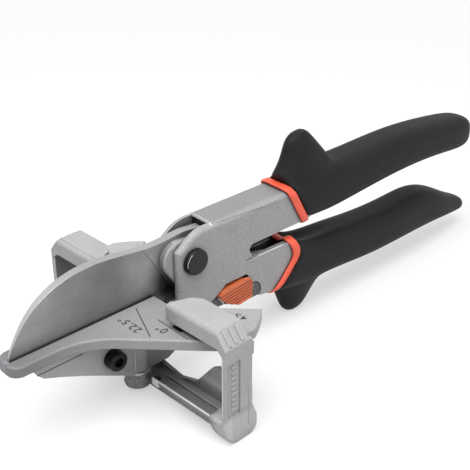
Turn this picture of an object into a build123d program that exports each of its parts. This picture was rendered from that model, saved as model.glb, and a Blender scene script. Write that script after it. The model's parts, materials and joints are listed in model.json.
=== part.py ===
from build123d import *
import os
from math import hypot, sqrt

# Mitre shears with a swivelling mitre fence, in millimetres.
# While modelling, z = 0 is the table top, y = 0 the blade's middle plane and
# x = 0, y = 0 the upright axis that the mitre fence turns on. +X runs to the grips.
# The finished pieces are lifted by table_height, so that the bench is z = 0.

# Standing height and common fits
table_height = 41.0
pin_fit = 0.05
slide_gap = 0.1
running_gap = 0.35
seat_gap = 0.05
overrun = 2.0

# Blade and its hub
blade_thickness = 3.5
blade_reach = 55.4
blade_height = 25.1
blade_edge_width = 0.5
blade_rest_gap = 0.1
blade_heel_x = 10.6
blade_spine_shares = [(-0.928, 0.33), (-0.8, 0.665), (-0.6, 0.912), (-0.27, 1.0), (0.21, 0.895)]
blade_tip_turn_share = 0.6
grind_top_x = 3.0
grind_low_x = 18.8
blade_hub_radius = 10.9
blade_hub_rear_share = (0.79, 0.92)
blade_hub_back_share = 1.14
blade_tang_width = 15.0
blade_tang_end = 45.5
blade_tang_drop = 9.5
blade_rivet_radius = 2.0
blade_rivet_shares = [(0.52, 0.45), (0.82, 0.86)]

# Handle pivot
pivot_x = 24.8
pivot_z = 12.4
bolt_radius = 3.0
bolt_head_radius = 5.5
bolt_head_height = 2.5
bolt_head_round = 0.9
bolt_nut_height = 2.0
bush_wall = 1.2

# Pressed sheet channels of the two handles
sheet = 2.7
handle_half_width = 7.5
channel_top = 24.8
channel_low = 8.0
web_front_x = 34.8
cheek_front_x = 16.9
brow_height = 18.0
brow_run = 9.6
brow_radius = 14.0
closing_radius = 27.5
closing_gap = 0.5
gap_height = 5.9
gap_end_x = 56.3
gap_end_lean = 3.4
gap_round_share = 0.4
gap_corner_radius = 0.3
notch_radius = 24.1
notch_top = -5.2
clasp_rear_x = 24.5
clasp_bottom = -16.0
channel_round = 2.2
tang_reach = 168.0
tang_height = 11.0
tang_bend_x = 96.0
upper_tang_drop = 1.8

# Lower handle
inner_sheet = 2.6
lower_top = 1.6
lower_top_rear = 0.4
lower_rear_x = 79.5
lower_bottom = -18.3
lower_bottom_rear = -20.0
lower_web_front_x = 63.5
inner_plate_rear_x = 67.0
lower_tang_run = 12.0
lower_tang_drop = 12.0
joggle_run = 2.6
nose_size = 12.7
nose_corner_shares = [(0.33, 0.62), (-1.0, 0.79), (-1.0, -0.07), (-0.42, -0.93), (0.5, -0.9)]
nose_top_radius = 7.5
nose_edge_round = 1.1
throat_x = 36.4
throat_z = -13.5
plate_low = -17.2

# Window and latch in the lower handle
latch_x = 56.3
latch_z = -15.8
latch_hub_radius = 4.9
latch_window_gap = 0.45
latch_tongue_reach = 14.5
latch_tongue_width = 3.6
latch_tongue_thickness = 1.4
latch_lean = 6.0
latch_rivet_radius = 1.9
latch_inset = 0.2
cover_front_x = 37.4
cover_rear_x = 55.6
cover_inner_rear_x = 50.9
cover_top = -6.4
cover_bottom = -17.6
cover_proud = 1.3
cover_shares = [(0.0, 0.74), (0.08, 0.88), (0.3, 0.93), (0.84, 1.0), (0.96, 0.9), (1.0, 0.68),
                (0.98, 0.08), (0.58, 0.0), (0.24, 0.25), (0.07, 0.52)]
groove_count = 6
groove_width = 0.8
groove_depth = 0.5
groove_field_share = 0.76
groove_start_share = 1.1
window_rear_top = 53.2

# Dipped grips and their coloured bands
grip_wall_gap = 0.1
grip_corner_share = 0.62
band_thickness = 1.7
band_width = 4.6
upper_band_top_x = 75.4
upper_band_low_x = 84.7
upper_grip_end = 213.0
upper_grip_height = 21.4
upper_grip_width = 19.8
upper_grip_middle = 18.4
upper_horn_top = 46.4
upper_section_shares = [(0.0, -0.07, 0.965, 0.98), (0.17, -0.04, 1.0, 1.0), (0.31, -0.02, 0.975, 1.0),
                        (0.455, 0.02, 0.92, 1.0), (0.6, 0.03, 0.89, 0.97), (0.7, 0.0, 0.865, 0.94),
                        (0.82, -0.075, 0.84, 0.9), (0.91, -0.15, 0.81, 0.82), (0.96, -0.2, 0.7, 0.67),
                        (0.99, -0.25, 0.42, 0.38)]
upper_horn_shares = [(0.0, 0.0, 1.05, 0.95), (0.5, 0.0, 0.86, 0.75), (0.72, -0.04, 0.62, 0.6),
                     (0.92, -0.08, 0.39, 0.42), (1.0, -0.05, 0.16, 0.2)]
lower_horn_shares = [(0.0, 0.0, 1.05, 0.95), (0.48, -0.035, 0.8, 0.75), (0.66, -0.06, 0.64, 0.62),
                     (0.88, -0.08, 0.44, 0.46), (1.0, -0.09, 0.17, 0.2)]
upper_horn_length = 33.0
lower_horn_length = 30.5
horn_width = 18.0
upper_horn_x = 92.3
lower_band_shares = [(0.86, 1.15), (1.0, 1.0), (1.19, 0.82), (1.19, 0.63), (0.98, 0.49), (0.45, 0.2),
                     (0.0, 0.0), (-0.17, -0.12)]
lower_band_run = 9.4
lower_band_rise = 19.6
lower_band_low_x = 68.2
lower_grip_end = 216.9
lower_grip_height = 21.6
lower_grip_width = 19.8
lower_grip_middle = -17.4
lower_horn_x = 91.5
lower_section_shares = [(0.0, 0.33, 1.1, 0.98), (0.08, 0.245, 1.11, 1.0), (0.14, 0.15, 1.02, 1.0),
                        (0.28, 0.055, 0.95, 1.0), (0.45, -0.045, 0.93, 1.0), (0.62, -0.055, 0.93, 0.98),
                        (0.72, -0.062, 0.945, 0.92), (0.79, -0.14, 0.84, 0.86), (0.85, -0.265, 0.67, 0.77),
                        (0.91, -0.4, 0.49, 0.64), (0.965, -0.515, 0.35, 0.5), (0.993, -0.61, 0.17, 0.28)]

# Anvil table
table_thickness = 4.3
table_reach = 57.4
table_nose_half_width = 6.4
nose_corner_radius = 4.5
wing_half_width = 44.1
wing_round_rise = 5.6
wing_front_offset = 34.1
wing_back_offset = 2.1
wing_sweep_radius = 30.0
wing_corner_radius = 1.5
table_step_x = 9.4
table_step_width = 24.0
table_edge_round = 0.5
line_width = 0.4
line_depth = 0.3
square_line_start = 15.0
square_line_end = 33.0
mark_angle = 22.5
mark_line_start = 3.6
mark_line_end = 24.0
rib_thickness = 4.0
rib_front_x = -42.0
rib_rear_x = -6.0
rib_depth = 18.5

# Anvil strip that the blade closes on
strip_width = 2.5
strip_depth = 3.0

# Carrier casting under the table
carrier_half_width = 4.0
carrier_front_x = -49.0
carrier_bottom = -30.0
carrier_boss_radius = 4.5
carrier_tail_top = -3.2
carrier_tail_x = 24.2
carrier_belly_shares = [(0.0, 0.0), (0.045, 0.17), (0.1, 0.27), (0.22, 0.36), (0.47, 0.58), (0.9, 1.0)]
clamp_screw_x = -14.2
clamp_screw_z = -16.6
clamp_screw_radius = 2.5
clamp_head_radius = 4.1
clamp_head_height = 4.6
clamp_hex_radius = 2.3
clamp_hex_depth = 2.4
clamp_nut_radius = 4.4
clamp_nut_height = 3.6
clasp_rivet_radius = 2.2
clasp_rivet_x = 20.6
clasp_rivet_shares = [0.3, 0.75]

# Mitre fence casting, drawn square to the blade and turned by its rest angle when finished
fence_rest_angle = 2.4
fence_face_x = -1.2
arm_bottom = 2.8
arm_top = 10.1
arm_rear_x = 10.8
arm_inner_y = 20.4
arm_inner_rear_y = 25.8
arm_inner_corner = 2.4
arm_front_round = 2.2
upright_gap = 0.4
upright_wall = 1.2
upright_frame = 0.6
upright_rear_x = 12.5
shoulder_drop = 6.5
shoulder_inset = 5.0
panel_front_inset = 1.3
panel_rear_inset = 6.1
panel_bottom = -27.0
foot_depth = 8.4
foot_floor_depth = 4.0
foot_top = -25.0
foot_flare = 3.3
foot_rear_radius = 4.5
foot_front_radius = 6.0
foot_front_inset = 2.4
foot_front_rise = 9.0
foot_edge_round = 0.8
rail_front_x = 0.6
rail_rear_x = 12.5
rail_wall = 1.7
rail_top = -28.5
rail_bottom = -35.5
rail_lip_thickness = 1.7
rail_lip_reach = 2.6
rail_lip_start_y = 11.0
rail_rib_x = 6.2
rail_rib_height = 1.6
back_wall_shares = [(0.0, 0.22), (0.27, 0.09), (0.46, 0.26), (0.64, 0.9), (0.7, 1.0), (1.04, 1.0)]
gusset_top = -18.0
hub_radius = 5.3
hub_bottom = -37.4
hub_top = -31.0
fence_screw_radius = 2.5
fence_screw_head_radius = 4.0
fence_screw_head_height = 2.6
fence_screw_reach = 13.0


def arc_corner(before, point, after, radius):
    """Start, middle and end of the arc that rounds one corner of an outline."""
    ax, ay = before[0] - point[0], before[1] - point[1]
    bx, by = after[0] - point[0], after[1] - point[1]
    a_length = hypot(ax, ay)
    b_length = hypot(bx, by)
    ax, ay, bx, by = ax / a_length, ay / a_length, bx / b_length, by / b_length
    half_cosine = sqrt((1 + ax * bx + ay * by) / 2)
    half_sine = sqrt(1 - half_cosine * half_cosine)
    run = radius * half_cosine / half_sine
    mx, my = ax + bx, ay + by
    m_length = hypot(mx, my)
    depth = radius / half_sine - radius
    start = (point[0] + ax * run, point[1] + ay * run)
    middle = (point[0] + mx / m_length * depth, point[1] + my / m_length * depth)
    end = (point[0] + bx * run, point[1] + by * run)
    return start, middle, end


def rounded_face(corners):
    """Face inside corners given as (u, v) for a sharp corner or (u, v, radius)."""
    count = len(corners)
    stretches = []
    for index, point in enumerate(corners):
        before = corners[index - 1]
        after = corners[(index + 1) % count]
        if len(point) == 3:
            stretches.append(arc_corner(before, point, after, point[2]))
        else:
            stretches.append((point, point, point))
    edges = []
    for index, stretch in enumerate(stretches):
        following = stretches[(index + 1) % count]
        if stretch[0] != stretch[2]:
            edges.append(ThreePointArc(*stretch))
        edges.append(Line(stretch[2], following[0]))
    return make_face(edges)


def slab_xz(corners, y_low, y_high):
    """Plate between two y values with an outline given as x and z."""
    return extrude(Plane.XZ.offset(-y_high) * rounded_face(corners), amount=y_high - y_low)


def slab_xy(corners, z_low, z_high):
    """Plate between two z values with an outline given as x and y."""
    return extrude(Plane.XY.offset(z_low) * rounded_face(corners), amount=z_high - z_low)


def slab_yz(corners, x_low, x_high):
    """Plate between two x values with an outline given as y and z."""
    return extrude(Plane.YZ.offset(x_low) * rounded_face(corners), amount=x_high - x_low)


def block(x_range, y_range, z_range):
    """Box between pairs of x, y and z values."""
    spans = [high - low for low, high in (x_range, y_range, z_range)]
    middles = [(low + high) / 2 for low, high in (x_range, y_range, z_range)]
    return Pos(*middles) * Box(*spans)


def rod_y(radius, x, z, y_low, y_high):
    """Round bar along Y."""
    bar = Cylinder(radius, y_high - y_low)
    return Pos(x, (y_low + y_high) / 2, z) * Rot(90, 0, 0) * bar


def rod_z(radius, x, y, z_low, z_high):
    """Round bar along Z."""
    return Pos(x, y, (z_low + z_high) / 2) * Cylinder(radius, z_high - z_low)


def both_sides(piece):
    """The piece and its mirror image across the blade's plane."""
    return piece + mirror(piece, about=Plane.XZ)


def spread(shares, x_start, x_size, z_start, z_size):
    """Points placed by their shares of a length and a height."""
    return [(x_start + share[0] * x_size, z_start + share[1] * z_size) for share in shares]


def on_circle(radius, height):
    """X of the pivot's circle of that radius where it crosses a height, on the grip side."""
    return pivot_x + sqrt(radius ** 2 - (height - pivot_z) ** 2)


def save(piece, name):
    """Lift a piece to its standing height and write it as its own node."""
    placed = Pos(0, 0, table_height) * piece
    placed.label = name
    export_step(placed, "parts/" + name + ".step")


# Half widths of the layers stacked on the pivot, from the blade outwards
blade_half = blade_thickness / 2
plate_inner = blade_half + slide_gap
plate_outer = plate_inner + inner_sheet
cheek_inner = handle_half_width - sheet
cheek_outer = handle_half_width

# The table's wings sweep inside the fence's uprights
wing_radius = wing_half_width + wing_round_rise
upright_inner_y = wing_radius + upright_gap
fence_half_width = upright_inner_y + upright_wall + upright_frame
foot_inner_y = fence_half_width - foot_depth
foot_floor_y = fence_half_width - foot_floor_depth


def build_blade():
    """Curved blade, ground to its lower edge, with a hub and a tang between the inner plates."""
    edge_z = blade_rest_gap
    spine = spread(blade_spine_shares, 0, blade_reach, 0, blade_height)
    tip = (-blade_reach, edge_z)
    hub_top_point = (pivot_x, pivot_z + blade_hub_radius)
    hub_rear = (pivot_x + blade_hub_radius * blade_hub_rear_share[0],
                pivot_z + blade_hub_radius * blade_hub_rear_share[1])
    hub_back = (pivot_x + blade_hub_radius * blade_hub_back_share, pivot_z)
    hub_low = (pivot_x, pivot_z - blade_hub_radius)
    outline = make_face([
        Spline(tip, *spine, hub_top_point, tangents=[(0, 1), (1, 0)],
               tangent_scalars=[blade_tip_turn_share, 1]),
        Line(hub_top_point, hub_rear),
        ThreePointArc(hub_rear, hub_back, hub_low),
        Line(hub_low, (blade_heel_x, edge_z)),
        Line((blade_heel_x, edge_z), tip),
    ])
    plate = extrude(Plane.XZ.offset(-blade_half) * outline, amount=blade_thickness)
    tang_low = pivot_z - blade_tang_width - blade_tang_drop / 2
    tang = slab_xz([(pivot_x, pivot_z + blade_tang_width / 2),
                    (blade_tang_end, pivot_z - blade_tang_drop, blade_tang_width / 6),
                    (blade_tang_end - blade_tang_width / 3, tang_low, blade_tang_width / 6),
                    (pivot_x, pivot_z - blade_tang_width / 2)], -blade_half, blade_half)
    plate += tang
    slope = (blade_half - blade_edge_width / 2) / blade_height
    wedge = slab_yz([(blade_edge_width / 2 - overrun * slope, edge_z - overrun),
                     (blade_half + overrun, edge_z - overrun),
                     (blade_half + overrun, blade_height), (blade_half, blade_height)],
                    -blade_reach - overrun, grind_low_x)
    lean = (grind_low_x - grind_top_x) / blade_height
    reach = slab_xz([(-blade_reach - overrun, -overrun), (grind_low_x + overrun * lean, -overrun),
                     (grind_top_x - overrun * lean, blade_height + overrun),
                     (-blade_reach - overrun, blade_height + overrun)],
                    -handle_half_width, handle_half_width)
    plate -= both_sides(wedge) & reach
    plate -= rod_y(bolt_radius + bush_wall + pin_fit, pivot_x, pivot_z, -blade_thickness, blade_thickness)
    for x, z in blade_rivet_places():
        plate -= rod_y(blade_rivet_radius + pin_fit, x, z, -blade_thickness, blade_thickness)
    return plate


def blade_rivet_places():
    """Places of the rivets that hold the blade between the lower handle's inner plates."""
    run = blade_tang_end - pivot_x
    return [(pivot_x + run * share[0], pivot_z - (blade_tang_drop + blade_tang_width / 3) * share[1])
            for share in blade_rivet_shares]


def upper_side():
    """Side outline of the upper handle, from its brow to the end of its tang."""
    tang_top = channel_top - upper_tang_drop
    return [(cheek_front_x, brow_height, brow_run / 8),
            (cheek_front_x + brow_run, channel_top, brow_radius),
            (tang_bend_x, channel_top, brow_radius),
            (tang_reach, tang_top),
            (tang_reach, tang_top - tang_height),
            (tang_bend_x, channel_low + sheet, brow_radius),
            (upper_band_low_x + band_width, channel_low, brow_radius),
            (gap_end_x - gap_end_lean, channel_low, gap_height * gap_round_share),
            (gap_end_x, channel_low - gap_height, gap_corner_radius),
            (cheek_front_x, channel_low - gap_height)]


def build_upper_handle():
    """Pressed channel, open below: two cheeks joined by a top web, clasping the carrier."""
    width = handle_half_width
    arc_top = channel_low - gap_height + slide_gap
    body = slab_xz(upper_side(), -width, width)
    closing_disc = rod_y(closing_radius, pivot_x, pivot_z, -width, width)
    middle = slab_xz([(cheek_front_x, arc_top), (gap_end_x, arc_top), (gap_end_x, notch_top),
                      (cheek_front_x, notch_top)], -width, width)
    body += middle & closing_disc
    notch_disc = rod_y(notch_radius, pivot_x, pivot_z, -width, width)
    low = slab_xz([(cheek_front_x, notch_top + slide_gap), (gap_end_x, notch_top + slide_gap),
                   (gap_end_x, clasp_bottom), (cheek_front_x, clasp_bottom)], -width, width)
    body += low & notch_disc
    body += slab_xz([(cheek_front_x, notch_top + slide_gap), (clasp_rear_x, notch_top + slide_gap),
                     (clasp_rear_x, clasp_bottom, brow_run / 4),
                     (cheek_front_x, clasp_bottom, brow_run / 4)], -width, width)
    top_edges = body.edges().filter_by(Axis.X).group_by(Axis.Z)[-1]
    body = fillet(top_edges, channel_round)
    tang_top = channel_top - upper_tang_drop
    body -= slab_xz([(cheek_front_x - overrun, clasp_bottom - overrun),
                     (cheek_front_x - overrun, channel_top + overrun),
                     (web_front_x, channel_top + overrun),
                     (web_front_x, channel_top - sheet),
                     (tang_bend_x, channel_top - sheet),
                     (tang_reach + overrun, tang_top - sheet),
                     (tang_reach + overrun, clasp_bottom - overrun)], -cheek_inner, cheek_inner)
    body -= rod_y(bolt_radius + pin_fit, pivot_x, pivot_z, -width - overrun, width + overrun)
    for z in clasp_rivet_heights():
        body -= rod_y(clasp_rivet_radius + pin_fit, clasp_rivet_x, z, -width - overrun, width + overrun)
    return body


def clasp_rivet_heights():
    """Heights of the two rivets through the upper handle's clasp and the carrier's tail."""
    drop = carrier_tail_top - clasp_bottom
    return [carrier_tail_top - drop * share for share in clasp_rivet_shares]


def lower_side():
    """Side outline of the lower handle's flanges and tang."""
    tang_top = lower_top_rear - lower_tang_drop
    return [(pivot_x, lower_top),
            (lower_rear_x, lower_top_rear, brow_radius / 4),
            (lower_rear_x + lower_tang_run, tang_top, brow_radius / 2),
            (tang_reach, tang_top - sheet),
            (tang_reach, tang_top - sheet - tang_height),
            (tang_bend_x, lower_bottom_rear - sheet / 2, brow_radius),
            (lower_band_low_x, lower_bottom_rear, brow_radius),
            (gap_end_x, lower_bottom),
            (throat_x, lower_bottom)]


def latch_window():
    """Opening in the near flange around the latch, down through its lower edge."""
    hub = latch_hub_radius + latch_window_gap
    width = handle_half_width + overrun
    slot = slab_xz([(pivot_x, notch_top), (window_rear_top, notch_top, latch_hub_radius / 3),
                    (latch_x, latch_z + hub), (latch_x, latch_z - hub - overrun),
                    (pivot_x, latch_z - hub - overrun)], -width, -plate_outer)
    return slot + rod_y(hub, latch_x, latch_z, -width, -plate_outer)


def build_lower_handle():
    """Pressed channel, open above, whose inner plates carry the blade around the pivot."""
    width = handle_half_width
    ring_inner = closing_radius + closing_gap
    flanges = slab_xz(lower_side(), -width, width)
    flanges -= rod_y(ring_inner, pivot_x, pivot_z, -width - overrun, width + overrun)
    flanges -= slab_xz([(pivot_x, lower_top + overrun), (tang_reach + overrun, lower_top + overrun),
                        (tang_reach + overrun, lower_top_rear - lower_tang_drop - tang_height),
                        (tang_bend_x, lower_bottom_rear + sheet / 2),
                        (lower_band_low_x, lower_bottom_rear + sheet),
                        (lower_web_front_x, lower_bottom_rear + sheet),
                        (lower_web_front_x, lower_bottom_rear - overrun),
                        (pivot_x, lower_bottom_rear - overrun)], -cheek_inner, cheek_inner)
    ring = rod_y(ring_inner + joggle_run, pivot_x, pivot_z, -width, width)
    ring -= rod_y(ring_inner, pivot_x, pivot_z, -width - overrun, width + overrun)
    ring &= block((pivot_x, gap_end_x), (-width, width), (notch_top, lower_top))
    ring -= block((pivot_x, gap_end_x), (-plate_inner, plate_inner),
                  (notch_top - overrun, lower_top + overrun))
    handle = flanges + ring
    nose = spread(nose_corner_shares, pivot_x, nose_size, pivot_z, nose_size)
    plate = slab_xz([nose[0], (*nose[1], nose_top_radius), (*nose[2], nose_size / 2),
                     (*nose[3], nose_size / 4), (*nose[4], nose_size / 4),
                     (throat_x, throat_z, nose_size / 8),
                     (throat_x + nose_size / 4, plate_low),
                     (inner_plate_rear_x, plate_low),
                     (inner_plate_rear_x, lower_top - sheet),
                     (on_circle(ring_inner + joggle_run, lower_top), lower_top)],
                    -plate_outer, -plate_inner)
    nose_edges = plate.faces().sort_by(Axis.Y)[0].edges().filter_by_position(
        Axis.X, pivot_x - nose_size - overrun, cheek_front_x + nose_size / 4)
    plate = fillet(nose_edges, nose_edge_round)
    handle += both_sides(plate)
    handle -= rod_y(bolt_radius + bush_wall + pin_fit, pivot_x, pivot_z, -width, width)
    handle -= latch_window()
    for x, z in blade_rivet_places():
        handle -= rod_y(blade_rivet_radius + pin_fit, x, z, -width, width)
    handle -= rod_y(latch_rivet_radius + pin_fit, latch_x, latch_z, -width, -slide_gap)
    return handle


def build_latch_lever():
    """Round hub and a tongue that carries the latch's coloured cover."""
    outer = -cheek_outer + latch_inset
    inner = -plate_outer - slide_gap
    tongue_middle = (outer + inner) / 2
    hub = rod_y(latch_hub_radius, latch_x, latch_z, outer, inner)
    hub &= block((cover_front_x, inner_plate_rear_x), (outer, inner), (lower_bottom, 0))
    tongue = block((-latch_tongue_reach, 0),
                   (tongue_middle - latch_tongue_thickness / 2, tongue_middle + latch_tongue_thickness / 2),
                   (-latch_tongue_width / 2, latch_tongue_width / 2))
    lift = latch_hub_radius - latch_tongue_width / 2
    tongue = Pos(latch_x, 0, latch_z + lift) * Rot(0, -latch_lean, 0) * tongue
    lever = hub + tongue
    return lever - rod_y(latch_rivet_radius + pin_fit, latch_x, latch_z, -handle_half_width - overrun, 0)


def build_latch_cover():
    """Grooved cover on the latch's tongue, proud of the near flange."""
    outer = -cheek_outer - cover_proud
    skin = -cheek_outer - slide_gap
    inner = -plate_outer - slide_gap
    points = spread(cover_shares, cover_front_x, cover_rear_x - cover_front_x,
                    cover_bottom, cover_top - cover_bottom)
    cap = slab_xz([(x, z, groove_width) for x, z in points], outer, skin)
    core = slab_xz([(x, z, groove_width) for x, z in points], skin - slide_gap, inner)
    core &= block((cover_front_x - overrun, cover_inner_rear_x), (-handle_half_width - overrun, 0),
                  (cover_bottom - overrun, cover_top + overrun))
    cover = cap + core
    tongue_middle = (-cheek_outer + slide_gap - plate_outer) / 2
    half = latch_tongue_thickness / 2 + pin_fit
    tongue_room = block((-latch_tongue_reach - pin_fit, 0), (tongue_middle - half, tongue_middle + half),
                        (-latch_tongue_width / 2 - pin_fit, latch_tongue_width / 2 + pin_fit))
    lift = latch_hub_radius - latch_tongue_width / 2
    cover -= Pos(latch_x, 0, latch_z + lift) * Rot(0, -latch_lean, 0) * tongue_room
    cover -= rod_y(latch_hub_radius + slide_gap, latch_x, latch_z, skin, 0)
    pitch = (cover_top - cover_bottom) * groove_field_share / groove_count
    for index in range(groove_count):
        groove = block((cover_front_x - overrun, cover_rear_x + overrun),
                       (outer - overrun, outer + groove_depth), (-groove_width / 2, groove_width / 2))
        rise = cover_bottom + (index + groove_start_share) * pitch
        middle_x = (cover_front_x + cover_rear_x) / 2
        cover -= Pos(middle_x, 0, rise) * Rot(0, -latch_lean, 0) * Pos(-middle_x, 0, 0) * groove
    return cover


def grip_sections(sections, start, end, middle, height, width):
    """Rounded rectangles across the grip, placed by shares of its length, height and width."""
    faces = []
    for along, offset, tall, wide in sections:
        plane = Plane(origin=(start + along * (end - start), 0, middle + offset * height),
                      x_dir=(0, 1, 0), z_dir=(1, 0, 0))
        corner = min(width * wide, height * tall) / 2 * grip_corner_share
        faces.append(plane * RectangleRounded(width * wide, height * tall, corner))
    return faces


def build_horn(shares, x, base, tip, length):
    """Rounded guard that stands out from a grip, between two heights."""
    faces = []
    for along, shift, long_share, wide_share in shares:
        centre = (x + shift * length, 0, base + along * (tip - base))
        faces.append(Plane(origin=centre, x_dir=(1, 0, 0), z_dir=(0, 0, 1))
                     * Ellipse(length * long_share / 2, horn_width * wide_share / 2))
    return loft(faces)


def band_block(low, high, x_low, x_high):
    """Bar along X with the rounded section that a band has outside."""
    section = RectangleRounded(2 * (handle_half_width + band_thickness), high - low + 2 * band_thickness,
                               channel_round + band_thickness)
    plane = Plane(origin=(x_low, 0, (low + high) / 2), x_dir=(0, 1, 0), z_dir=(1, 0, 0))
    return extrude(plane * section, amount=x_high - x_low)


def upper_band_edge(shift):
    """X and z of the upper band's left edge above and below the channel, moved along X."""
    slope = (upper_band_low_x - upper_band_top_x) / (channel_top - channel_low)
    reach = upper_grip_height
    return [(upper_band_top_x - slope * reach + shift, channel_top + reach),
            (upper_band_low_x + slope * reach + shift, channel_low - reach)]


def build_upper_band():
    """Coloured ring around the upper handle where the grip begins."""
    left = upper_band_edge(0)
    right = upper_band_edge(band_width)
    slab = slab_xz([left[0], left[1], right[1], right[0]], -upper_grip_width, upper_grip_width)
    ring = band_block(channel_low, channel_top, web_front_x, tang_reach) & slab
    return ring - upper_tang_room()


def upper_tang_room():
    """Space that the upper tang takes inside the grip, with its fit."""
    gap = grip_wall_gap
    tang_top = channel_top - upper_tang_drop
    return slab_xz([(0, channel_top + gap), (tang_bend_x, channel_top + gap, brow_radius),
                    (tang_reach + gap, tang_top + gap),
                    (tang_reach + gap, tang_top - tang_height - gap),
                    (tang_bend_x, channel_low + sheet - gap, brow_radius),
                    (upper_band_low_x + band_width, channel_low - gap, brow_radius),
                    (0, channel_low - gap)], -handle_half_width - gap, handle_half_width + gap)


def build_upper_grip():
    """Dipped upper grip with its guard horn."""
    start = upper_band_top_x
    body = loft(grip_sections(upper_section_shares, start, upper_grip_end, upper_grip_middle,
                              upper_grip_height, upper_grip_width))
    body += build_horn(upper_horn_shares, upper_horn_x, upper_grip_middle, upper_horn_top,
                       upper_horn_length)
    edge = upper_band_edge(band_width + slide_gap)
    body -= slab_xz([(0, edge[0][1]), edge[0], edge[1], (0, edge[1][1])],
                    -upper_grip_width, upper_grip_width)
    return body - upper_tang_room()


def lower_band_edge(shift):
    """Points of the lower band's bowed left edge, moved along X."""
    return [(x + shift, z) for x, z in
            spread(lower_band_shares, lower_band_low_x, lower_band_run, lower_bottom_rear, lower_band_rise)]


def lower_tang_room():
    """Space that the lower handle takes inside the band and the grip, with its fit."""
    tang_top = lower_top_rear - lower_tang_drop
    gap = grip_wall_gap
    return slab_xz([(pivot_x, lower_top + gap), (lower_rear_x, lower_top_rear + gap, brow_radius / 4),
                    (lower_rear_x + lower_tang_run, tang_top + gap, brow_radius / 2),
                    (tang_reach + gap, tang_top - sheet + gap),
                    (tang_reach + gap, tang_top - sheet - tang_height - gap),
                    (tang_bend_x, lower_bottom_rear - sheet / 2 - gap, brow_radius),
                    (lower_band_low_x, lower_bottom_rear - gap, brow_radius),
                    (pivot_x, lower_bottom - gap)], -handle_half_width - gap, handle_half_width + gap)


def build_lower_band():
    """Coloured ring around the lower handle where the grip begins."""
    left = lower_band_edge(0)
    right = lower_band_edge(band_width)
    outline = make_face([Spline(*left), Line(left[-1], right[-1]),
                         Spline(*reversed(right)), Line(right[0], left[0])])
    slab = extrude(Plane.XZ.offset(-lower_grip_width) * outline, amount=2 * lower_grip_width)
    ring = band_block(lower_bottom_rear, lower_top_rear, gap_end_x, tang_reach) & slab
    return ring - lower_tang_room()


def build_lower_grip():
    """Dipped lower grip with its guard horn below, which stands on the bench."""
    start = lower_band_low_x
    body = loft(grip_sections(lower_section_shares, start, lower_grip_end, lower_grip_middle,
                              lower_grip_height, lower_grip_width))
    body += build_horn(lower_horn_shares, lower_horn_x, lower_grip_middle, -table_height,
                       lower_horn_length)
    edge = lower_band_edge(band_width + slide_gap)
    high = lower_grip_height
    low = -table_height - overrun
    keep_out = make_face([Spline(*edge), Line(edge[-1], (edge[-1][0], low)),
                          Line((edge[-1][0], low), (0, low)), Line((0, low), (0, high)),
                          Line((0, high), (edge[0][0], high)), Line((edge[0][0], high), edge[0])])
    body -= extrude(Plane.XZ.offset(-lower_grip_width) * keep_out, amount=2 * lower_grip_width)
    return body - lower_tang_room()


def build_pivot_bolt():
    """Bolt with a low round head on the near side and a formed head on the far side."""
    width = handle_half_width
    head = rod_y(bolt_head_radius, pivot_x, pivot_z, -width - bolt_head_height, -width)
    head = fillet(head.edges().group_by(Axis.Y)[0], bolt_head_round)
    shank = rod_y(bolt_radius, pivot_x, pivot_z, -width - slide_gap, width + bolt_nut_height)
    return head + shank


def build_pivot_nut():
    """Low round nut on the bolt's far end."""
    width = handle_half_width
    nut = rod_y(bolt_head_radius, pivot_x, pivot_z, width, width + bolt_nut_height)
    nut = fillet(nut.edges().group_by(Axis.Y)[-1], bolt_head_round)
    return nut - rod_y(bolt_radius + pin_fit, pivot_x, pivot_z, 0, width + bolt_nut_height + overrun)


def build_pivot_bush():
    """Steel bush that the lower handle and blade turn on."""
    bush = rod_y(bolt_radius + bush_wall, pivot_x, pivot_z, -plate_outer, plate_outer)
    return bush - rod_y(bolt_radius + pin_fit, pivot_x, pivot_z, -handle_half_width, handle_half_width)


def build_pivot_washer():
    """Thin washer between an inner plate and a cheek."""
    washer = rod_y(bolt_head_radius, pivot_x, pivot_z, -cheek_inner + seat_gap, -plate_outer - seat_gap)
    return washer - rod_y(bolt_radius + pin_fit, pivot_x, pivot_z, -handle_half_width, handle_half_width)


def wing_outline():
    """Outline of the near half of the table, nose to back edge."""
    back_y = wing_back_offset
    reach = wing_radius
    corner_y = (back_y + sqrt(2 * reach ** 2 - back_y ** 2)) / 2
    corner = (corner_y - back_y, -corner_y)
    edge_x = sqrt(reach ** 2 - wing_half_width ** 2)
    middle_y = -sqrt(reach ** 2 - ((edge_x + corner[0]) / 2) ** 2)
    arc_middle = ((edge_x + corner[0]) / 2, middle_y)
    elbow_x = table_nose_half_width - wing_front_offset
    step_y = -table_step_width / 2
    return corner, edge_x, arc_middle, elbow_x, step_y


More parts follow.
